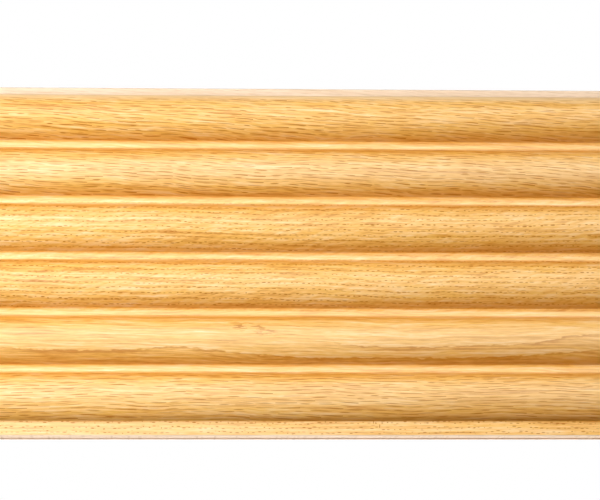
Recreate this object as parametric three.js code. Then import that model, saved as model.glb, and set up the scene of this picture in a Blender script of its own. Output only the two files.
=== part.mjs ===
// A fluted wall panel: one oak board with rounded reeds running along it, a tongue on its upper edge
// and a groove in its lower edge. Millimetres. +X runs along the reeds, +Z is up the wall and +Y goes
// into the wall. The origin is the middle of the flat back.
import * as THREE from 'three';

// Driving dimensions
const LENGTH = 220;
const REED_COUNT = 6;
const REED_PITCH = 20;
const REED_WIDTH = 17.4;
const REED_RISE = 5.2;
const TOP_REED_TRIM = 1.2;
const LOWER_FILLET = 5.4;
const BASE_THICKNESS = 10.8;

const TONGUE_LENGTH = 4.0;
const TONGUE_THICKNESS = 3.0;
const TONGUE_FROM_BACK = 2.8;
const GROOVE_CLEARANCE = 0.2;
const GROOVE_EXTRA_DEPTH = 0.4;

const ROOT_EASE = 0.3;
const ARRIS_EASE = 0.5;
const REED_STEPS = 26;
const EASE_STEPS = 3;

// Sizes worked out from them
const FILLET_WIDTH = REED_PITCH - REED_WIDTH;
const REED_RADIUS = ((REED_WIDTH / 2) ** 2 + REED_RISE ** 2) / (2 * REED_RISE);
const REED_CENTRE_OUT = BASE_THICKNESS + REED_RISE - REED_RADIUS;
const FACE_HEIGHT = REED_COUNT * REED_PITCH - FILLET_WIDTH - TOP_REED_TRIM + LOWER_FILLET;
const FACE_TOP = FACE_HEIGHT / 2;
const FACE_BOTTOM = -FACE_HEIGHT / 2;

// The outline is drawn as seen from the board's end: first coordinate up the wall, second out from it.
// Each vertex carries the size of the small curve that eases it, or 0 for a plain point.
function vertex(up, out, ease = 0) {
  return { point: new THREE.Vector2(up, out), ease };
}

// Points along one reed, from its upper root to its lower root
function reedVertices(index) {
  const middle = FACE_TOP + TOP_REED_TRIM - REED_WIDTH / 2 - index * REED_PITCH;
  const trim = index === 0 ? TOP_REED_TRIM : 0;
  const startAngle = Math.asin((REED_WIDTH / 2 - trim) / REED_RADIUS);
  const endAngle = -Math.asin(REED_WIDTH / 2 / REED_RADIUS);
  const vertices = [];
  for (let step = 0; step <= REED_STEPS; step += 1) {
    const angle = startAngle + (endAngle - startAngle) * step / REED_STEPS;
    const up = middle + REED_RADIUS * Math.sin(angle);
    const out = REED_CENTRE_OUT + REED_RADIUS * Math.cos(angle);
    const atRoot = step === 0 || step === REED_STEPS;
    vertices.push(vertex(up, out, atRoot ? ROOT_EASE : 0));
  }
  return vertices;
}

// The moulded face, from the upper edge down: the fillets are the straight runs from reed to reed
function faceVertices() {
  const vertices = [];
  for (let index = 0; index < REED_COUNT; index += 1) {
    vertices.push(...reedVertices(index));
  }
  vertices.push(vertex(FACE_BOTTOM, BASE_THICKNESS, ARRIS_EASE));
  return vertices;
}

// The tongue on the upper edge, from the back towards the front
function tongueVertices() {
  const back = TONGUE_FROM_BACK;
  const front = TONGUE_FROM_BACK + TONGUE_THICKNESS;
  const tip = FACE_TOP + TONGUE_LENGTH;
  return [
    vertex(FACE_TOP, back),
    vertex(tip, back, ARRIS_EASE),
    vertex(tip, front, ARRIS_EASE),
    vertex(FACE_TOP, front),
  ];
}

// The groove in the lower edge that takes the next board's tongue, from the front towards the back
function grooveVertices() {
  const front = TONGUE_FROM_BACK + TONGUE_THICKNESS + GROOVE_CLEARANCE;
  const back = TONGUE_FROM_BACK - GROOVE_CLEARANCE;
  const floor = FACE_BOTTOM + TONGUE_LENGTH + GROOVE_EXTRA_DEPTH;
  return [
    vertex(FACE_BOTTOM, front),
    vertex(floor, front),
    vertex(floor, back),
    vertex(FACE_BOTTOM, back),
  ];
}

// A vertex as a short curve that starts and ends on its two sides
function easedPoints(before, corner, after, ease) {
  const start = before.clone().sub(corner).setLength(ease).add(corner);
  const end = after.clone().sub(corner).setLength(ease).add(corner);
  return new THREE.QuadraticBezierCurve(start, corner, end).getPoints(EASE_STEPS);
}

function panelOutline() {
  const vertices = [
    vertex(FACE_BOTTOM, 0, ARRIS_EASE),
    vertex(FACE_TOP, 0, ARRIS_EASE),
    ...tongueVertices(),
    ...faceVertices(),
    ...grooveVertices(),
  ];
  const points = vertices.flatMap(({ point, ease }, index) => {
    if (ease === 0) {
      return [point];
    }
    const before = vertices.at(index - 1).point;
    const after = vertices[(index + 1) % vertices.length].point;
    return easedPoints(before, point, after, ease);
  });
  return new THREE.Shape(points);
}

// The outline swept along the board's length, turned so that its up is +Z and its out is -Y
function makePanel() {
  const geometry = new THREE.ExtrudeGeometry(panelOutline(), { depth: LENGTH, bevelEnabled: false });
  const oak = new THREE.MeshStandardMaterial({ color: 0xe6b56c, roughness: 0.45, metalness: 0 });
  const panel = new THREE.Mesh(geometry, oak);
  panel.name = 'fluted_panel';
  const up = new THREE.Vector3(0, 0, 1);
  const out = new THREE.Vector3(0, -1, 0);
  const along = new THREE.Vector3(1, 0, 0);
  panel.quaternion.setFromRotationMatrix(new THREE.Matrix4().makeBasis(up, out, along));
  panel.position.x = -LENGTH / 2;
  return panel;
}

const part = new THREE.Group();
part.add(makePanel());

export default part;
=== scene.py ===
# Looks of the fluted wall panel: an edge-glued oak board, lacquered on its reeded face and bare on its
# edges, ends and back. Metres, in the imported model's frame: +X along the reeds, +Y into the wall, +Z up.
import math
from dataclasses import dataclass

import bmesh
import bpy
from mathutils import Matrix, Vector, noise


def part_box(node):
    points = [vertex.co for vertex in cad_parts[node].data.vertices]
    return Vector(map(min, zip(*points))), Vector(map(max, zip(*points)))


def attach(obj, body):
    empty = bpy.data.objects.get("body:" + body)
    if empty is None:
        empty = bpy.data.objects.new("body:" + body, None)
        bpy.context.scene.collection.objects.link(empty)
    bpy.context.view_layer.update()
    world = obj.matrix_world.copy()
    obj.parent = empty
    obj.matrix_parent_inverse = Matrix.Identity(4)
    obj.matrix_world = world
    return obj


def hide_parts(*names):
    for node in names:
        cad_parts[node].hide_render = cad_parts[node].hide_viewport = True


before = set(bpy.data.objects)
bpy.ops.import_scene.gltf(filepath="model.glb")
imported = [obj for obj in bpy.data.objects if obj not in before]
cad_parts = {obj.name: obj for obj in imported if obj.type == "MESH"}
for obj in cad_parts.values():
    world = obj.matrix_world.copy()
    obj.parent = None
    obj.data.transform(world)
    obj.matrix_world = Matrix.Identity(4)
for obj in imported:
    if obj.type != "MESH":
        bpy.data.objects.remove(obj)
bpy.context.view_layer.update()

MM = 0.001
NODE = "fluted_panel"

# The board's sizes: its box comes from the frame, and the moulding's own sizes are the solid's, with
# slightly softer roots and with ends eased where they are sawn
board_low, board_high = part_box(NODE)
REED_COUNT = 6
REED_PITCH = 20 * MM
REED_WIDTH = 17.4 * MM
REED_RISE = 5.2 * MM
TOP_REED_TRIM = 1.2 * MM
TONGUE_LENGTH = 4.0 * MM
TONGUE_THICKNESS = 3.0 * MM
TONGUE_FROM_BACK = 2.8 * MM
GROOVE_CLEARANCE = 0.2 * MM
GROOVE_EXTRA_DEPTH = 0.4 * MM
ROOT_EASE = 0.35 * MM
ARRIS_EASE = 0.5 * MM
END_EASE = 0.2 * MM

LENGTH = board_high[0] - board_low[0]
BASE_THICKNESS = board_high[1] - board_low[1] - REED_RISE
FACE_TOP = board_high[2] - TONGUE_LENGTH
FACE_BOTTOM = board_low[2]
REED_RADIUS = ((REED_WIDTH / 2) ** 2 + REED_RISE ** 2) / (2 * REED_RISE)
REED_CENTRE_OUT = BASE_THICKNESS + REED_RISE - REED_RADIUS
TOP_REED_MIDDLE = FACE_TOP + TOP_REED_TRIM - REED_WIDTH / 2

# How finely the board is drawn
REED_STEPS = 48
EASE_STEPS = 4
STATION_GAP = 2.75 * MM
FLAT_STEP = 1.3 * MM
BACK_STEP = 6 * MM
JOINT_SLACK = 0.05 * MM
END_SLACK = 0.01 * MM
SHARP_ANGLE = math.radians(38)

# The unevenness that sanding leaves on the face: its size, how often it turns along and up, and a seed
WOBBLE_UP = (0.10 * MM, 22, 90, 1.7)
WOBBLE_OUT = (0.05 * MM, 16, 60, 8.3)


def reed_middle(index):
    return TOP_REED_MIDDLE - index * REED_PITCH


def fillet_middle(index):
    """Height of the fillet below a reed."""
    return reed_middle(index) - REED_PITCH / 2


FIRST_ROOT = reed_middle(0) - REED_WIDTH / 2
LAST_ROOT = reed_middle(REED_COUNT - 1) - REED_WIDTH / 2


@dataclass
class Pores:
    """Pores in rows along the growth rings, in millimetres.

    Share is how many of the places in a row have one, and scatter how far across its ring one can lie.
    """
    gap: float
    length: float
    width: float
    share: float
    scatter: float


@dataclass
class Stave:
    """One strip of the glued board. Its growth rings are circles round its own pith, in millimetres.

    The grain climbs with slope along the board and wanders by wave.
    """
    name: str
    lower_z: float
    pith: tuple
    ring: float
    slope: float
    wave: float
    long_pores: Pores
    fine_pores: Pores
    flecks: float
    seed: float


# From the tongue down. The glue lines fall in the fillets, where the figure changes.
STAVES = (
    Stave(
        "upper", lower_z=fillet_middle(1), pith=(420, -40), ring=1.1, slope=0.05, wave=1.2,
        long_pores=Pores(gap=6.4, length=6.6, width=0.32, share=0.85, scatter=0.6),
        fine_pores=Pores(gap=5.6, length=5.0, width=0.22, share=0.8, scatter=0.9),
        flecks=0.0, seed=3.0),
    Stave(
        "middle", lower_z=fillet_middle(3), pith=(-260, -20), ring=1.8, slope=0.008, wave=0.8,
        long_pores=Pores(gap=2.0, length=1.5, width=0.37, share=0.88, scatter=0.25),
        fine_pores=Pores(gap=3.0, length=1.8, width=0.26, share=0.6, scatter=0.9),
        flecks=0.2, seed=17.0),
    Stave(
        "lower", lower_z=LAST_ROOT, pith=(-400, 30), ring=1.1, slope=0.012, wave=1.2,
        long_pores=Pores(gap=7.6, length=8.0, width=0.30, share=0.82, scatter=0.6),
        fine_pores=Pores(gap=6.4, length=6.0, width=0.22, share=0.8, scatter=0.9),
        flecks=0.0, seed=31.0),
    Stave(
        "edge", lower_z=FACE_BOTTOM, pith=(-299.35, 0), ring=1.8, slope=0.0, wave=0.5,
        long_pores=Pores(gap=2.0, length=1.2, width=0.43, share=0.85, scatter=0.5),
        fine_pores=Pores(gap=2.6, length=1.2, width=0.30, share=0.5, scatter=0.9),
        flecks=0.0, seed=47.0),
)


# The board's outline


@dataclass
class Corner:
    """A vertex of the outline: height, distance out from the wall, easing, and the zone that follows."""
    up: float
    out: float
    ease: float
    zone: str


def reed_corners(index):
    middle = reed_middle(index)
    trim = TOP_REED_TRIM if index == 0 else 0.0
    start = math.asin((REED_WIDTH / 2 - trim) / REED_RADIUS)
    end = -math.asin(REED_WIDTH / 2 / REED_RADIUS)
    corners = []
    for step in range(REED_STEPS + 1):
        angle = start + (end - start) * step / REED_STEPS
        up = middle + REED_RADIUS * math.sin(angle)
        out = REED_CENTRE_OUT + REED_RADIUS * math.cos(angle)
        ease = ROOT_EASE if step in (0, REED_STEPS) else 0.0
        corners.append(Corner(up, out, ease, "face"))
    return corners


def face_corners():
    corners = []
    for index in range(REED_COUNT):
        corners += reed_corners(index)
    corners.append(Corner(FACE_BOTTOM, BASE_THICKNESS, ARRIS_EASE, "edge"))
    return corners


def tongue_corners():
    back = TONGUE_FROM_BACK
    front = TONGUE_FROM_BACK + TONGUE_THICKNESS
    tip = FACE_TOP + TONGUE_LENGTH
    return [
        Corner(FACE_TOP, back, 0.0, "edge"),
        Corner(tip, back, ARRIS_EASE, "edge"),
        Corner(tip, front, ARRIS_EASE, "edge"),
        Corner(FACE_TOP, front, 0.0, "edge"),
    ]


def groove_corners():
    front = TONGUE_FROM_BACK + TONGUE_THICKNESS + GROOVE_CLEARANCE
    back = TONGUE_FROM_BACK - GROOVE_CLEARANCE
    floor = FACE_BOTTOM + TONGUE_LENGTH + GROOVE_EXTRA_DEPTH
    return [
        Corner(FACE_BOTTOM, front, 0.0, "edge"),
        Corner(floor, front, 0.0, "edge"),
        Corner(floor, back, 0.0, "edge"),
        Corner(FACE_BOTTOM, back, 0.0, "edge"),
    ]


def eased(before, corner, after):
    """Points of a small curve in place of a corner."""
    tip = Vector((corner.up, corner.out))
    start = tip + (Vector((before.up, before.out)) - tip).normalized() * corner.ease
    end = tip + (Vector((after.up, after.out)) - tip).normalized() * corner.ease
    points = []
    for step in range(EASE_STEPS + 1):
        t = step / EASE_STEPS
        point = start * (1 - t) ** 2 + tip * 2 * t * (1 - t) + end * t ** 2
        points.append((point, corner.zone))
    return points


def filled(points):
    """Long straight runs divided, so that the surface can be uneven, with a point on each glue line."""
    joints = [stave.lower_z for stave in STAVES[:-1]]
    out = []
    for index, (point, zone) in enumerate(points):
        following = points[(index + 1) % len(points)][0]
        run = following - point
        step = BACK_STEP if zone == "back" else FLAT_STEP
        count = max(1, math.ceil(run.length / step))
        shares = {number / count for number in range(count)}
        for joint in joints:
            low, high = sorted((point.x, following.x))
            if low + JOINT_SLACK < joint < high - JOINT_SLACK:
                shares.add((joint - point.x) / run.x)
        out += [(point + run * share, zone) for share in sorted(shares)]
    return out


def board_outline():
    """The closed outline as (height, out) points, each with the zone of the strip that follows it."""
    corners = [
        Corner(FACE_BOTTOM, 0.0, ARRIS_EASE, "back"),
        Corner(FACE_TOP, 0.0, ARRIS_EASE, "edge"),
        *tongue_corners(),
        *face_corners(),
        *groove_corners(),
    ]
    points = []
    for index, corner in enumerate(corners):
        if corner.ease:
            points += eased(corners[index - 1], corner, corners[(index + 1) % len(corners)])
        else:
            points.append((Vector((corner.up, corner.out)), corner.zone))
    return filled(points)


# The board's mesh. Each stave has three materials: its face, its plain sides and its ends.
KINDS = ("face", "side", "end")


def stave_at(height):
    for number, stave in enumerate(STAVES):
        if height > stave.lower_z:
            return number
    return len(STAVES) - 1


def material_index(height, kind):
    return stave_at(height) * len(KINDS) + KINDS.index(kind)


def wobble(pattern, along, up):
    size, along_rate, up_rate, seed = pattern
    return size * noise.noise((along * along_rate, up * up_rate, seed))


def surface_point(along, point, zone):
    """A point of the outline at one place along the board, with the small unevenness that sanding leaves."""
    up, out = point
    if zone == "face":
        up += wobble(WOBBLE_UP, along, up)
        out += wobble(WOBBLE_OUT, along, up)
    return Vector((along, -out, up))


def drawn_in(outline, distance):
    """The outline moved into the wood by a small distance, for the eased edge of a sawn end."""
    moved = []
    for index, (point, zone) in enumerate(outline):
        run = outline[(index + 1) % len(outline)][0] - outline[index - 1][0]
        inward = Vector((-run.y, run.x)).normalized()
        moved.append((point + inward * distance, zone))
    return moved


# Where each kind of surface lies across the map that its colours are baked through
CHARTS = {"face": (0.005, 0.60), "side": (0.615, 0.90), "left": (0.915, 0.95), "right": (0.96, 0.995)}
CHART_MARGIN = 0.004
CHART_NAME = "OFBake"


def chart_rows(outline):
    """Each strip's two heights in the baking map, where the strips of one kind lie end to end."""
    count = len(outline)
    runs = [(outline[(index + 1) % count][0] - outline[index][0]).length for index in range(count)]
    kinds = ["face" if zone == "face" else "side" for _, zone in outline]
    rows = [None] * count
    for kind in ("face", "side"):
        members = [index for index in range(count) if kinds[index] == kind]
        whole = sum(runs[index] for index in members)
        done = 0.0
        for index in members:
            ends = (done / whole, (done + runs[index]) / whole)
            rows[index] = [CHART_MARGIN + (1 - 2 * CHART_MARGIN) * end for end in ends]
            done += runs[index]
    return rows


def station_places():
    """Places along the board where its outline is drawn: both ends, and even steps between them."""
    count = max(2, round(LENGTH / STATION_GAP))
    half = LENGTH / 2
    between = [(half - END_EASE) * (2 * station / count - 1) for station in range(count + 1)]
    return [-half, *between, half]


def draw_rings(mesh, outline, places):
    small = drawn_in(outline, END_EASE)
    rings = []
    for along in places:
        drawn = small if along in (places[0], places[-1]) else outline
        rings.append([mesh.verts.new(surface_point(along, *entry)) for entry in drawn])
    return rings


def draw_sides(mesh, outline, places, rings):
    """The strips between the rings, each with its material and its place in the baking map."""
    chart = mesh.loops.layers.uv[CHART_NAME]
    rows = chart_rows(outline)
    for number, (left, right) in enumerate(zip(rings, rings[1:])):
        for index, (point, zone) in enumerate(outline):
            following = (index + 1) % len(outline)
            face = mesh.faces.new((left[index], left[following], right[following], right[index]))
            middle = (point.x + outline[following][0].x) / 2
            kind = "face" if zone == "face" else "side"
            face.material_index = material_index(middle, kind)
            face.smooth = True
            low, high = CHARTS[kind]
            lower, upper = rows[index]
            shares = [low + (high - low) * (places[number + step] / LENGTH + 0.5) for step in (0, 0, 1, 1)]
            for loop, share, row in zip(face.loops, shares, (lower, upper, upper, lower)):
                loop[chart].uv = (share, row)


def close_end(mesh, outline, ring, flip):
    """A sawn end: one flat face for each stave."""
    chart = mesh.loops.layers.uv[CHART_NAME]
    low, high = CHARTS["left" if flip else "right"]
    thickness = board_high[1] - board_low[1]
    for number, stave in enumerate(STAVES):
        upper = STAVES[number - 1].lower_z if number else math.inf
        verts = []
        for (point, _), vert in zip(outline, ring):
            if stave.lower_z - END_SLACK <= point.x <= upper + END_SLACK:
                verts.append(vert)
        if flip:
            verts.reverse()
        face = mesh.faces.new(verts)
        face.material_index = number * len(KINDS) + KINDS.index("end")
        for loop in face.loops:
            place = loop.vert.co
            loop[chart].uv = (low - (high - low) * place.y / thickness, place.z / LENGTH + 0.5)


def make_board():
    outline = board_outline()
    places = station_places()
    mesh = bmesh.new()
    mesh.loops.layers.uv.new(CHART_NAME)
    rings = draw_rings(mesh, outline, places)
    draw_sides(mesh, outline, places, rings)
    close_end(mesh, outline, rings[0], True)
    close_end(mesh, outline, rings[-1], False)
    bmesh.ops.recalc_face_normals(mesh, faces=mesh.faces)
    data = bpy.data.meshes.new("oak_board")
    mesh.to_mesh(data)
    mesh.free()
    data.set_sharp_from_angle(angle=SHARP_ANGLE)
    board = bpy.data.objects.new("oak_board", data)
    bpy.context.collection.objects.link(board)
    return board


# Materials

# Where the mix node has its two colours and its result
MIX_FIRST, MIX_SECOND, MIX_RESULT = 6, 7, 2


class Nodes:
    """Short calls that build one material's nodes."""

    def __init__(self, material):
        material.use_nodes = True
        self.tree = material.node_tree
        self.shader = self.tree.nodes["Principled BSDF"]

    def put(self, node, socket, value):
        if isinstance(value, bpy.types.NodeSocket):
            self.tree.links.new(value, node.inputs[socket])
        else:
            node.inputs[socket].default_value = value

    def maths(self, operation, first, second=0.0):
        node = self.tree.nodes.new("ShaderNodeMath")
        node.operation = operation
        self.put(node, 0, first)
        self.put(node, 1, second)
        return node.outputs[0]

    def add(self, *values):
        total = values[0]
        for value in values[1:]:
            total = self.maths("ADD", total, value)
        return total

    def times(self, *values):
        product = values[0]
        for value in values[1:]:
            product = self.maths("MULTIPLY", product, value)
        return product

    def less(self, first, second):
        return self.maths("SUBTRACT", first, second)

    def position(self):
        """The object's own coordinates in millimetres, as three values."""
        coordinates = self.tree.nodes.new("ShaderNodeTexCoord")
        scaled = self.tree.nodes.new("ShaderNodeVectorMath")
        scaled.operation = "SCALE"
        self.tree.links.new(coordinates.outputs["Object"], scaled.inputs[0])
        scaled.inputs["Scale"].default_value = 1 / MM
        parts = self.tree.nodes.new("ShaderNodeSeparateXYZ")
        self.tree.links.new(scaled.outputs[0], parts.inputs[0])
        return parts.outputs

    def place(self, x, y, z=0.0):
        node = self.tree.nodes.new("ShaderNodeCombineXYZ")
        for socket, value in enumerate((x, y, z)):
            self.put(node, socket, value)
        return node.outputs[0]

    def length(self, x, y):
        node = self.tree.nodes.new("ShaderNodeVectorMath")
        node.operation = "LENGTH"
        self.tree.links.new(self.place(x, y), node.inputs[0])
        return node.outputs["Value"]

    def noise(self, place, detail=2.0, roughness=0.5):
        """Noise about zero, mostly between -1 and 1."""
        node = self.tree.nodes.new("ShaderNodeTexNoise")
        self.put(node, "Vector", place)
        self.put(node, "Scale", 1.0)
        self.put(node, "Detail", detail)
        self.put(node, "Roughness", roughness)
        return self.times(self.add(node.outputs["Fac"], -0.5), 4.0)

    def streaks(self, along, across, pattern, third, detail=2.0, roughness=0.5):
        """Noise drawn out along the board."""
        length, density = pattern
        place = self.place(self.times(along, 1 / length), self.times(across, density), third)
        return self.noise(place, detail, roughness)

    def random(self, place):
        """Three random values that stay the same all over a cell."""
        node = self.tree.nodes.new("ShaderNodeTexWhiteNoise")
        self.put(node, "Vector", place)
        parts = self.tree.nodes.new("ShaderNodeSeparateColor")
        self.tree.links.new(node.outputs["Color"], parts.inputs[0])
        return parts.outputs

    def cells(self, place):
        """Distance to the nearest cell's middle."""
        node = self.tree.nodes.new("ShaderNodeTexVoronoi")
        self.put(node, "Vector", place)
        self.put(node, "Scale", 1.0)
        return node.outputs["Distance"]

    def ramp(self, value, stops):
        """A value or a colour read off between stops."""
        node = self.tree.nodes.new("ShaderNodeValToRGB")
        self.put(node, "Fac", value)
        elements = node.color_ramp.elements
        while len(elements) < len(stops):
            elements.new(0.5)
        for element, (place, colour) in zip(elements, stops):
            element.position = place
            element.color = colour if isinstance(colour, tuple) else (colour, colour, colour, 1.0)
        return node.outputs["Color"]

    def curve(self, value, points):
        node = self.tree.nodes.new("ShaderNodeFloatCurve")
        self.put(node, "Value", value)
        drawn = node.mapping.curves[0].points
        while len(drawn) < len(points):
            drawn.new(0.5, 0.5)
        for point, place in zip(drawn, points):
            point.location = place
        node.mapping.update()
        return node.outputs[0]

    def mix(self, share, first, second):
        node = self.tree.nodes.new("ShaderNodeMix")
        node.data_type = "RGBA"
        self.put(node, 0, share)
        self.put(node, MIX_FIRST, first)
        self.put(node, MIX_SECOND, second)
        return node.outputs[MIX_RESULT]

    def smooth(self, value, low, high):
        """0 at low, 1 at high, and an easy slope between. Low may be the greater of the two."""
        node = self.tree.nodes.new("ShaderNodeMapRange")
        node.interpolation_type = "SMOOTHSTEP"
        self.put(node, "Value", value)
        self.put(node, "From Min", low)
        self.put(node, "From Max", high)
        return node.outputs[0]

    def bump(self, height, distance, strength):
        node = self.tree.nodes.new("ShaderNodeBump")
        self.put(node, "Height", height)
        node.inputs["Distance"].default_value = distance
        node.inputs["Strength"].default_value = strength
        self.tree.links.new(node.outputs[0], self.shader.inputs["Normal"])


def rgba(red, green, blue):
    return (red, green, blue, 1.0)


@dataclass
class Finish:
    """How one kind of surface is finished."""
    dark: tuple
    middle: tuple
    pale: tuple
    pore: tuple
    pore_depth: float
    roughness: float
    figure: float = 1.0

    def stops(self):
        """The wood's colours from dark to pale."""
        return ((0.0, self.dark), (0.5, self.middle), (1.0, self.pale))


FINISHES = {
    "face": Finish(
        dark=rgba(0.55, 0.215, 0.025), middle=rgba(0.83, 0.455, 0.11), pale=rgba(0.90, 0.63, 0.33),
        pore=rgba(0.40, 0.12, 0.0), pore_depth=0.86, roughness=0.42),
    "side": Finish(
        dark=rgba(0.64, 0.45, 0.27), middle=rgba(0.79, 0.60, 0.43), pale=rgba(0.87, 0.71, 0.55),
        pore=rgba(0.50, 0.33, 0.18), pore_depth=0.35, roughness=0.72, figure=0.45),
    "end": Finish(
        dark=rgba(0.50, 0.31, 0.15), middle=rgba(0.70, 0.49, 0.29), pale=rgba(0.80, 0.62, 0.42),
        pore=rgba(0.30, 0.17, 0.08), pore_depth=0.8, roughness=0.85),
}
COAT = 0.4
COAT_ROUGHNESS = 0.3
SPECULAR = 0.25
PORE_ROUGHNESS = 0.4
FIBRE_ROUGHNESS = 0.03

# Relief: its depth and strength, and how much of it fibres and saw marks have beside the pores
SIDE_RELIEF = (0.06 * MM, 0.6)
FIBRE_RELIEF = 0.06
END_RELIEF = (0.08 * MM, 0.7)
SAW_RELIEF = 0.4

# Patterns drawn out along the board: their length in millimetres, and how many lie across a millimetre
DRIFT = (60, 1 / 25)
RIPPLE = (17, 1 / 9)
UNEVEN = (90, 1 / 6)
FIBRE = (14, 1.7)
STREAK = (60, 0.6)
GRIT = (4, 2.4)
CLOUD = (45, 1 / 12)
FLECK = (9, 0.8)
RAGGED = (4, 1.4)
HONEY_STREAK = (30, 0.9)

# How far the rings wander, and how quickly fibres and streaks change out from the wall
RIPPLE_SHARE = 0.16
RING_UNEVEN = 0.25
FIBRE_DEPTH = 0.4
STREAK_DEPTH = 0.2

# How pores are drawn: the shift from row to row, how far one strays along its row, the shortest and longest
# as shares of their length, the soft edge, the faintest, and how strong the fine ones are
ROW_SHIFT = 17.0
PORE_STRAY = 0.4
PORE_SHORTEST, PORE_LONGEST = 0.2, 0.8
PORE_EDGE = (1.1, 0.5)
FAINTEST_PORE = 0.5
FINE_PORE_SHARE = 0.6

# What makes light and dark along the grain
RING_TONES = ((0.0, 0.62), (0.3, 0.48), (0.5, 0.30), (0.62, 0.52), (1.0, 0.62))
RING_WEIGHT = 0.4
FIBRE_WEIGHT = 0.44
STREAK_WEIGHT = 0.24
CLOUD_WEIGHT = 0.08
GRIT_WEIGHT = 0.13
FLECK_LEAN = -0.36


class Grain:
    """Where a place lies in one stave: along the grain, out from the pith in rings, and round it."""

    def __init__(self, nodes, stave):
        self.stave = stave
        x, y, z = nodes.position()
        self.x = x
        self.z = z
        self.out = nodes.times(y, -1.0)
        drift = nodes.streaks(x, z, DRIFT, stave.seed)
        ripple = nodes.streaks(x, z, RIPPLE, stave.seed + 2)
        up = nodes.add(z, nodes.times(x, stave.slope), nodes.times(drift, stave.wave))
        up = nodes.add(up, nodes.times(ripple, RIPPLE_SHARE * stave.wave))
        pith_up, pith_out = stave.pith
        rise = nodes.add(up, -pith_up)
        depth = nodes.add(self.out, -pith_out)
        self.radial = nodes.length(rise, depth)
        self.round = nodes.times(nodes.maths("ARCTAN2", depth, rise), math.hypot(pith_up, pith_out))
        uneven = nodes.streaks(x, self.radial, UNEVEN, stave.seed + 5)
        self.ring = nodes.add(nodes.times(self.radial, 1 / stave.ring), nodes.times(uneven, RING_UNEVEN))


def pore_rows(nodes, grain, pores, ring, seed):
    """Dashes in rows, one row to a ring: how far each place lies in a pore, from 0 to 1."""
    row = nodes.maths("FLOOR", ring)
    start = nodes.random(nodes.place(row, seed))[0]
    place = nodes.add(nodes.times(grain.x, 1 / pores.gap), nodes.times(start, ROW_SHIFT))
    cell = nodes.maths("FLOOR", place)
    shift_along, shift_across, size = nodes.random(nodes.place(cell, row, seed))
    middle_along = nodes.add(nodes.times(shift_along, PORE_STRAY), 0.5 - PORE_STRAY / 2)
    along = nodes.less(nodes.maths("FRACT", place), middle_along)
    middle_across = nodes.add(nodes.times(shift_across, pores.scatter), 0.5 - pores.scatter / 2)
    across = nodes.less(nodes.maths("FRACT", ring), middle_across)
    longer = nodes.times(size, (PORE_LONGEST - PORE_SHORTEST) * pores.length / pores.share)
    half_length = nodes.add(longer, PORE_SHORTEST * pores.length)
    far_along = nodes.maths("DIVIDE", nodes.times(along, pores.gap), half_length)
    far_across = nodes.times(across, grain.stave.ring / (pores.width / 2))
    inside = nodes.smooth(nodes.length(far_along, far_across), *PORE_EDGE)
    present = nodes.maths("LESS_THAN", size, pores.share)
    strength = nodes.add(nodes.times(shift_along, 1 - FAINTEST_PORE), FAINTEST_PORE)
    return nodes.times(inside, present, strength)


def side_pores(nodes, grain):
    """Pores cut along the grain, in long and fine rows."""
    stave = grain.stave
    long_rows = pore_rows(nodes, grain, stave.long_pores, grain.ring, stave.seed)
    between = nodes.add(grain.ring, 0.5)
    fine_rows = pore_rows(nodes, grain, stave.fine_pores, between, stave.seed + 1)
    return nodes.maths("MAXIMUM", long_rows, nodes.times(fine_rows, FINE_PORE_SHARE))


def side_tone(nodes, grain):
    """Light and dark along the grain: rings, fibres, long streaks and ray flecks, about zero."""
    stave = grain.stave
    rings = nodes.ramp(nodes.maths("FRACT", grain.ring), RING_TONES)
    fibre_third = nodes.times(grain.out, FIBRE_DEPTH)
    fibre = nodes.streaks(grain.x, grain.radial, FIBRE, fibre_third, detail=3.0, roughness=0.7)
    streak = nodes.streaks(grain.x, grain.radial, STREAK, nodes.times(grain.out, STREAK_DEPTH))
    grit = nodes.streaks(grain.x, grain.radial, GRIT, stave.seed + 6)
    cloud = nodes.streaks(grain.x, grain.z, CLOUD, stave.seed)
    tone = nodes.add(
        nodes.times(nodes.add(rings, -0.5), RING_WEIGHT),
        nodes.times(fibre, FIBRE_WEIGHT),
        nodes.times(streak, STREAK_WEIGHT),
        nodes.times(cloud, CLOUD_WEIGHT),
        nodes.times(grit, GRIT_WEIGHT))
    if stave.flecks:
        lean = nodes.add(grain.z, nodes.times(grain.x, FLECK_LEAN))
        flecks = nodes.streaks(grain.x, lean, FLECK, stave.seed + 4)
        tone = nodes.add(tone, nodes.times(flecks, stave.flecks))
    return tone, fibre


# Painted shade in the roots and on the lower flanks, and painted highlight on the crests and fillets:
# shares of one pitch down from a lower root, each with its strength there, and the strength of the painted
# highlight on each reed's crest from the top down
ROOT_SHADE = ((0.0, 0.42), (0.04, 0.8), (0.07, 1.0), (0.13, 1.0), (0.16, 0.6), (0.18, 0.4), (0.22, 0.7),
              (0.28, 1.0), (0.80, 1.0), (0.89, 0.76), (1.0, 0.5))
FLANK_SHADE = ((0.5, 0.0), (0.75, 0.26), (0.96, 0.30), (1.0, 0.15))
FILLET_HIGHLIGHT = ((0.04, 0.0), (0.07, 0.24), (0.14, 0.24), (0.17, 0.0))
FILLET_CALM = ((0.0, 0.3), (0.11, 0.3), (0.16, 0.7), (0.22, 1.0), (0.98, 1.0), (1.0, 0.3))
# Colour of the painted shade in the reed roots and on the lower flanks
PAINTED_SHADE = rgba(0.52, 0.19, 0.012)
CREST_SHAPE = ((0.24, 0.0), (0.42, 1.0), (0.66, 1.0), (0.88, 0.0))
CREST_HIGHLIGHTS = (0.05, 0.34, 0.03, 0.10, 0.24, 0.24)
# Colour of the painted highlight on crests, fillets, the upper arris and the left of the lower fillet
PAINTED_HIGHLIGHT = rgba(0.90, 0.68, 0.42)
HONEY = rgba(0.84, 0.50, 0.055)
HONEY_EDGE = (-0.1, 0.5)
HONEY_SHARE = 0.2

# Where the painted shade changes along the board, in millimetres from its middle
HALF_LENGTH = LENGTH / MM / 2
SHADE_START = -20.0
LIFT_END = -60.0
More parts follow.
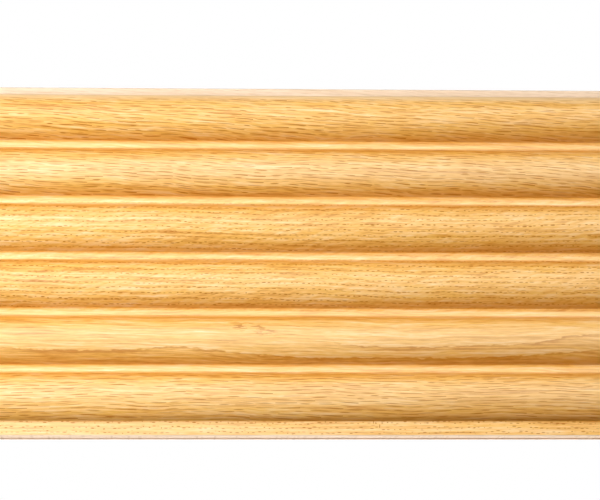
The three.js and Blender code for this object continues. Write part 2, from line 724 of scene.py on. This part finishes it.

# The top of the face, in millimetres below its arris, where the painted root shade stops and a painted
# highlight lies, and the last flank, in millimetres above its root, where less shade is painted towards the
# left
ARRIS_UNSHADED = (6.8, 3.8)
ARRIS_HIGHLIGHT_SPAN = (3.3, 0.3)
ARRIS_CALM = (0.3, 2.3)
ARRIS_HIGHLIGHT = 0.6
LAST_FLANK = (6.4, 1.4)
LAST_FLANK_UNSHADED = 0.75

# The fillet below the last reed: a painted highlight growing towards its left end, and painted shade at its
# root
EDGE_HIGHLIGHT = 0.3
EDGE_ROOT_SHADE = (-0.04, 0.05)

# Marks that the wood of the face has, in millimetres along the board and up. The ring lines and the flame
# are measured up from the middle of the marked reed. The nicks have their height in the frame and half
# their length.
MARKED_REED = 4
MARKED_REED_PORES = 0.3
MARKED_REED_FADE = 3.0
RING_LINES = (
    ((-110, -2.9), (-79, -4.4), (-61, -4.2), (-43, -3.2), (-36, -3.8), (-26, -4.7), (-14, -5.7),
     (11, -6.8), (27, -6.6), (54, -6.8), (79, -5.8), (110, -3.4)),
    ((11, -0.4), (23, -2.9), (36, -3.2), (54, -2.9), (64, -2.4), (79, -1.9), (88, -0.7), (97, 1.1),
     (110, 1.6)),
)
LINE_LOW, LINE_HIGH = -9.0, 3.0
LINE_RAGGED = 0.45
LINE_FADE = (-4.0, 8.0)

# The bands along a ring line: weight, and where each starts and ends below the line
LINE_BANDS = (
    (-0.34, (-0.1, 0.25), (1.9, 0.1)),
    (-0.26, (-0.15, 0.1), (0.6, 0.15)),
    (0.2, (-2.4, -0.3), (0.1, -0.3)),
)
FLAME_ALONG, FLAME_UP = -17.5, 3.3
FLAME_LENGTH, FLAME_WIDTH, FLAME_LEAN = 12.0, 2.6, -0.20
FLAME_EDGE = (1.0, 0.3)
FLAME_GAPS = (0.05, -0.35)
FLAME_TONE = -0.9
NICKS = ((25.4, -55.65, 0.9), (27.6, -57.25, 0.8))
NICK_WIDTH = 0.16
NICK_EDGE = (1.1, 0.6)


def above_marked_reed(nodes, grain):
    """Height over the middle of the marked reed."""
    return nodes.add(grain.z, -reed_middle(MARKED_REED) / MM)


def ring_line(nodes, grain, points, ragged):
    """One wavy ring: dark under the line and paler over it, about zero."""
    length = LENGTH / MM
    places = [(along / length + 0.5, (up - LINE_LOW) / (LINE_HIGH - LINE_LOW)) for along, up in points]
    share = nodes.add(nodes.times(grain.x, 1 / length), 0.5)
    line = nodes.add(nodes.times(nodes.curve(share, places), LINE_HIGH - LINE_LOW), LINE_LOW)
    below = nodes.add(nodes.less(line, above_marked_reed(nodes, grain)), nodes.times(ragged, LINE_RAGGED))
    bands = []
    for weight, start, end in LINE_BANDS:
        bands.append(nodes.times(nodes.smooth(below, *start), nodes.smooth(below, *end), weight))
    first = points[0][0]
    fade = nodes.smooth(grain.x, first + LINE_FADE[0], first + LINE_FADE[1])
    return nodes.times(nodes.add(*bands), fade)


def flame(nodes, grain, ragged):
    """A feathered brown mark where a ring runs out on the reed."""
    along = nodes.add(grain.x, -FLAME_ALONG)
    up = nodes.add(above_marked_reed(nodes, grain), -FLAME_UP)
    up = nodes.less(up, nodes.times(along, FLAME_LEAN))
    far = nodes.length(nodes.times(along, 1 / FLAME_LENGTH), nodes.times(up, 1 / FLAME_WIDTH))
    return nodes.times(nodes.smooth(far, *FLAME_EDGE), nodes.smooth(ragged, *FLAME_GAPS), FLAME_TONE)


def nicks(nodes, grain):
    """Short dark nicks across the lower fillet."""
    total = 0.0
    for along, up, half in NICKS:
        far_along = nodes.times(nodes.add(grain.x, -along), 1 / NICK_WIDTH)
        far_up = nodes.times(nodes.add(grain.z, -up), 1 / half)
        total = nodes.add(nodes.smooth(nodes.length(far_along, far_up), *NICK_EDGE), total)
    return total


def pitch_share(nodes, grain):
    """How far down a place lies from a lower root, as a share of one pitch."""
    pitch = REED_PITCH / MM
    return nodes.maths("FRACT", nodes.add(nodes.times(grain.z, -1 / pitch), FIRST_ROOT / MM / pitch))


def below_top(nodes, grain, limits):
    """From 0 to 1 between two distances below the top of the face."""
    start, end = limits
    return nodes.smooth(grain.z, FACE_TOP / MM - start, FACE_TOP / MM - end)


def face_pores(nodes, grain, down, pores):
    """The face's pores, fainter where finish fills them, and the nicks in the lower fillet."""
    name = grain.stave.name
    if name == "edge":
        return nodes.maths("MAXIMUM", pores, nicks(nodes, grain))
    pores = nodes.times(pores, nodes.ramp(down, FILLET_CALM))
    if name == "upper":
        pores = nodes.times(pores, below_top(nodes, grain, ARRIS_CALM))
    if name == "lower":
        fillet = fillet_middle(MARKED_REED) / MM
        under = nodes.smooth(grain.z, fillet + MARKED_REED_FADE, fillet)
        share = nodes.add(nodes.times(under, 1 - MARKED_REED_PORES), MARKED_REED_PORES)
        pores = nodes.times(pores, share)
    return pores


def face_marks(nodes, grain, tone):
    """The tone with the ring lines and the flame of the marked reed."""
    ragged = nodes.streaks(grain.x, grain.z, RAGGED, grain.stave.seed + 9)
    for points in RING_LINES:
        tone = nodes.add(tone, ring_line(nodes, grain, points, ragged))
    return nodes.add(tone, flame(nodes, grain, ragged))


def unshaded_share(nodes, grain, down):
    """How much of the face is left unshaded: 1 on most of it, less where shade is painted in roots and lower
    flanks.
    """
    right = nodes.smooth(grain.x, SHADE_START, HALF_LENGTH)
    unshaded = nodes.less(nodes.ramp(down, ROOT_SHADE), nodes.times(right, nodes.ramp(down, FLANK_SHADE)))
    if grain.stave.name == "upper":
        unshaded = nodes.maths("MAXIMUM", unshaded, below_top(nodes, grain, ARRIS_UNSHADED))
    if grain.stave.name == "lower":
        start, end = (LAST_ROOT / MM + distance for distance in LAST_FLANK)
        left = nodes.smooth(grain.x, HALF_LENGTH, LIFT_END)
        lifted = nodes.times(nodes.smooth(grain.z, start, end), left, LAST_FLANK_UNSHADED)
        unshaded = nodes.maths("MAXIMUM", unshaded, lifted)
    return unshaded


def highlight_share(nodes, grain, down):
    """How strong the painted highlight is, on crests, fillets and the upper arris."""
    height = REED_PITCH * REED_COUNT / MM
    reed = nodes.add(nodes.times(grain.z, -1 / height), FACE_TOP / MM / height)
    shares = [((index + 0.5) / REED_COUNT, highlight) for index, highlight in enumerate(CREST_HIGHLIGHTS)]
    highlight = nodes.times(nodes.ramp(down, CREST_SHAPE), nodes.ramp(reed, shares))
    highlight = nodes.add(highlight, nodes.ramp(down, FILLET_HIGHLIGHT))
    if grain.stave.name == "upper":
        highlight = nodes.add(highlight, nodes.times(below_top(nodes, grain, ARRIS_HIGHLIGHT_SPAN), ARRIS_HIGHLIGHT))
    return highlight


def face_tint_and_painted_light(nodes, grain, down, wood):
    """The wood with its honey streaks, painted highlight and painted shade, and how much coat the painted
    shade leaves.
    """
    honey = nodes.streaks(grain.x, grain.radial, HONEY_STREAK, grain.stave.seed + 8)
    wood = nodes.mix(nodes.times(nodes.smooth(honey, *HONEY_EDGE), HONEY_SHARE), wood, HONEY)
    # The lower fillet: painted highlight towards its left end, painted shade at its root, and a full coat
    if grain.stave.name == "edge":
        left = nodes.smooth(grain.x, HALF_LENGTH, -HALF_LENGTH)
        wood = nodes.mix(nodes.times(left, EDGE_HIGHLIGHT), wood, PAINTED_HIGHLIGHT)
        return nodes.mix(nodes.smooth(down, *EDGE_ROOT_SHADE), PAINTED_SHADE, wood), 1.0
    # Painted highlight on crests, fillets and the upper arris, then painted shade in the roots and lower
    # flanks
    wood = nodes.mix(highlight_share(nodes, grain, down), wood, PAINTED_HIGHLIGHT)
    unshaded = unshaded_share(nodes, grain, down)
    return nodes.mix(unshaded, PAINTED_SHADE, wood), unshaded


def oak_side(stave, kind):
    """Oak seen along its grain: the lacquered face or the bare sides."""
    finish = FINISHES[kind]
    material = bpy.data.materials.new(f"oak_{stave.name}_{kind}")
    nodes = Nodes(material)
    grain = Grain(nodes, stave)
    tone, fibre = side_tone(nodes, grain)
    pores = side_pores(nodes, grain)
    if kind == "face":
        down = pitch_share(nodes, grain)
        pores = face_pores(nodes, grain, down, pores)
        if stave.name == "lower":
            tone = face_marks(nodes, grain, tone)
    wood = nodes.ramp(nodes.add(nodes.times(tone, finish.figure), 0.5), finish.stops())
    if kind == "face":
        wood, unshaded = face_tint_and_painted_light(nodes, grain, down, wood)
        # The coat is thinner where shade is painted, and missing in the pores
        nodes.put(nodes.shader, "Coat Weight", nodes.times(nodes.less(1.0, pores), COAT, unshaded))
        nodes.shader.inputs["Coat Roughness"].default_value = COAT_ROUGHNESS
    colour = nodes.mix(nodes.times(pores, finish.pore_depth), wood, finish.pore)
    nodes.put(nodes.shader, "Base Color", colour)
    rough = nodes.add(
        nodes.times(fibre, FIBRE_ROUGHNESS), nodes.times(pores, PORE_ROUGHNESS), finish.roughness)
    nodes.put(nodes.shader, "Roughness", rough)
    nodes.shader.inputs["Specular IOR Level"].default_value = SPECULAR
    nodes.bump(nodes.add(nodes.times(pores, -1.0), nodes.times(fibre, FIBRE_RELIEF)), *SIDE_RELIEF)
    return material


# Oak across its grain: tones and pores through one ring, and how many marks lie to the millimetre each way
END_TONES = ((0.0, 0.3), (0.35, 0.62), (0.75, 0.5), (1.0, 0.38))
END_PORES = ((0.0, 1.0), (0.3, 0.8), (0.45, 0.1), (1.0, 0.0))
END_PORE_COUNT = 2.6
END_PORE_EDGE = (0.42, 0.22)
RAYS_ROUND, RAYS_OUT = 2.2, 0.12
SAW_UP, SAW_OUT = 0.05, 1.6
RAY_WEIGHT = 0.12
SAW_WEIGHT = 0.08


def oak_end(stave):
    """Oak cut across its grain: rings, open pores at the start of each ring, rays and saw marks."""
    finish = FINISHES["end"]
    material = bpy.data.materials.new(f"oak_{stave.name}_end")
    nodes = Nodes(material)
    grain = Grain(nodes, stave)
    phase = nodes.maths("FRACT", grain.ring)
    ray_place = nodes.place(
        nodes.times(grain.round, RAYS_ROUND), nodes.times(grain.radial, RAYS_OUT), stave.seed)
    saw_place = nodes.place(nodes.times(grain.z, SAW_UP), nodes.times(grain.out, SAW_OUT), stave.seed + 8)
    saw = nodes.noise(saw_place, detail=3.0)
    pore_place = nodes.place(
        nodes.times(grain.radial, END_PORE_COUNT), nodes.times(grain.round, END_PORE_COUNT))
    pores = nodes.times(
        nodes.smooth(nodes.cells(pore_place), *END_PORE_EDGE), nodes.ramp(phase, END_PORES))
    tone = nodes.add(
        nodes.ramp(phase, END_TONES),
        nodes.times(nodes.noise(ray_place), RAY_WEIGHT),
        nodes.times(saw, SAW_WEIGHT))
    wood = nodes.ramp(tone, finish.stops())
    colour = nodes.mix(nodes.times(pores, finish.pore_depth), wood, finish.pore)
    nodes.put(nodes.shader, "Base Color", colour)
    nodes.shader.inputs["Roughness"].default_value = finish.roughness
    nodes.bump(nodes.add(nodes.times(pores, -1.0), nodes.times(saw, SAW_RELIEF)), *END_RELIEF)
    return material


# Stage, light and camera

CAMERA_LENS = 200.0
CAMERA_SENSOR = 36.0
CAMERA_REACH = 20.0
CAMERA_DISTANCE = 1.1784
CAMERA_BELOW = math.radians(9.812)
CAMERA_LEFT = math.radians(3.206)
CAMERA_ROLL = math.radians(-0.355)
VIEW_ABOVE_ROOT = 60.8 * MM
VIEW_CENTRE = Vector((0.0, -BASE_THICKNESS, LAST_ROOT + VIEW_ABOVE_ROOT))

WORLD_LIGHT = 0.02
FLOOR_SIZE = 60.0
FLOOR_HEIGHT = -1.2
FLOOR_COLOUR = rgba(0.85, 0.85, 0.85)
FLOOR_ROUGHNESS = 0.9
FLOOR_GLOW = 0.7
WHITE = rgba(1.0, 1.0, 1.0)

# Soft boxes: name, place, width and height, power in watts
LIGHTS = (
    ("top", (-0.1, -0.70, 0.45), (1.1, 0.3), 3.3),
    ("top_left", (-0.30, -0.70, 0.30), (0.4, 0.3), 2.4),
    ("front", (-0.1, -0.85, 0.06), (1.1, 0.2), 1.8),
    ("left", (-0.45, -0.45, -0.08), (0.3, 0.35), 3.0),
    ("under", (0.0, 0.25, -0.55), (0.8, 0.3), 5.5),
    ("back", (-0.4, 0.9, 0.4), (0.8, 0.5), 3.0),
    ("right", (0.9, 0.15, 0.0), (0.4, 0.4), 5.0),
)


def add_camera():
    data = bpy.data.cameras.new("camera")
    data.lens = CAMERA_LENS
    data.sensor_width = CAMERA_SENSOR
    data.clip_end = CAMERA_REACH
    camera = bpy.data.objects.new("camera", data)
    bpy.context.collection.objects.link(camera)
    back = Vector((
        -math.sin(CAMERA_LEFT) * math.cos(CAMERA_BELOW),
        -math.cos(CAMERA_LEFT) * math.cos(CAMERA_BELOW),
        -math.sin(CAMERA_BELOW)))
    camera.location = VIEW_CENTRE + back * CAMERA_DISTANCE
    turn = (-back).to_track_quat("-Z", "Y").to_matrix().to_4x4()
    camera.rotation_euler = turn.to_euler()
    camera.rotation_euler.rotate_axis("Z", CAMERA_ROLL)
    bpy.context.scene.camera = camera


def add_area_light(name, place, size, power):
    data = bpy.data.lights.new(name, "AREA")
    data.shape = "RECTANGLE"
    data.size, data.size_y = size
    data.energy = power
    light = bpy.data.objects.new(name, data)
    light.visible_camera = False
    bpy.context.collection.objects.link(light)
    light.location = place
    light.rotation_euler = (Vector(place) * -1).to_track_quat("-Z", "Y").to_euler()


def add_world():
    """White to the camera, and a much softer white as light."""
    world = bpy.data.worlds.new("studio")
    bpy.context.scene.world = world
    world.use_nodes = True
    tree = world.node_tree
    background = tree.nodes["Background"]
    background.inputs["Color"].default_value = WHITE
    path = tree.nodes.new("ShaderNodeLightPath")
    strength = tree.nodes.new("ShaderNodeMapRange")
    strength.inputs["To Min"].default_value = WORLD_LIGHT
    strength.inputs["To Max"].default_value = 1.0
    tree.links.new(path.outputs["Is Camera Ray"], strength.inputs["Value"])
    tree.links.new(strength.outputs[0], background.inputs["Strength"])


def add_floor():
    """A pale floor that sends no light back up, so that the undersides of the reeds keep their shade."""
    bpy.ops.mesh.primitive_plane_add(size=FLOOR_SIZE, location=(0.0, 0.0, FLOOR_HEIGHT))
    floor = bpy.context.object
    floor.name = "floor"
    material = bpy.data.materials.new("pale_floor")
    material.use_nodes = True
    shader = material.node_tree.nodes["Principled BSDF"]
    shader.inputs["Base Color"].default_value = FLOOR_COLOUR
    shader.inputs["Roughness"].default_value = FLOOR_ROUGHNESS
    shader.inputs["Emission Color"].default_value = WHITE
    shader.inputs["Emission Strength"].default_value = FLOOR_GLOW
    floor.data.materials.append(material)
    floor.visible_diffuse = False
    floor.visible_glossy = False


def main():
    board = make_board()
    for stave in STAVES:
        board.data.materials.append(oak_side(stave, "face"))
        board.data.materials.append(oak_side(stave, "side"))
        board.data.materials.append(oak_end(stave))
    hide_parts(NODE)
    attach(board, "root")
    add_floor()
    add_world()
    for light in LIGHTS:
        add_area_light(*light)
    add_camera()
    bpy.context.scene.view_settings.view_transform = "Standard"


main()
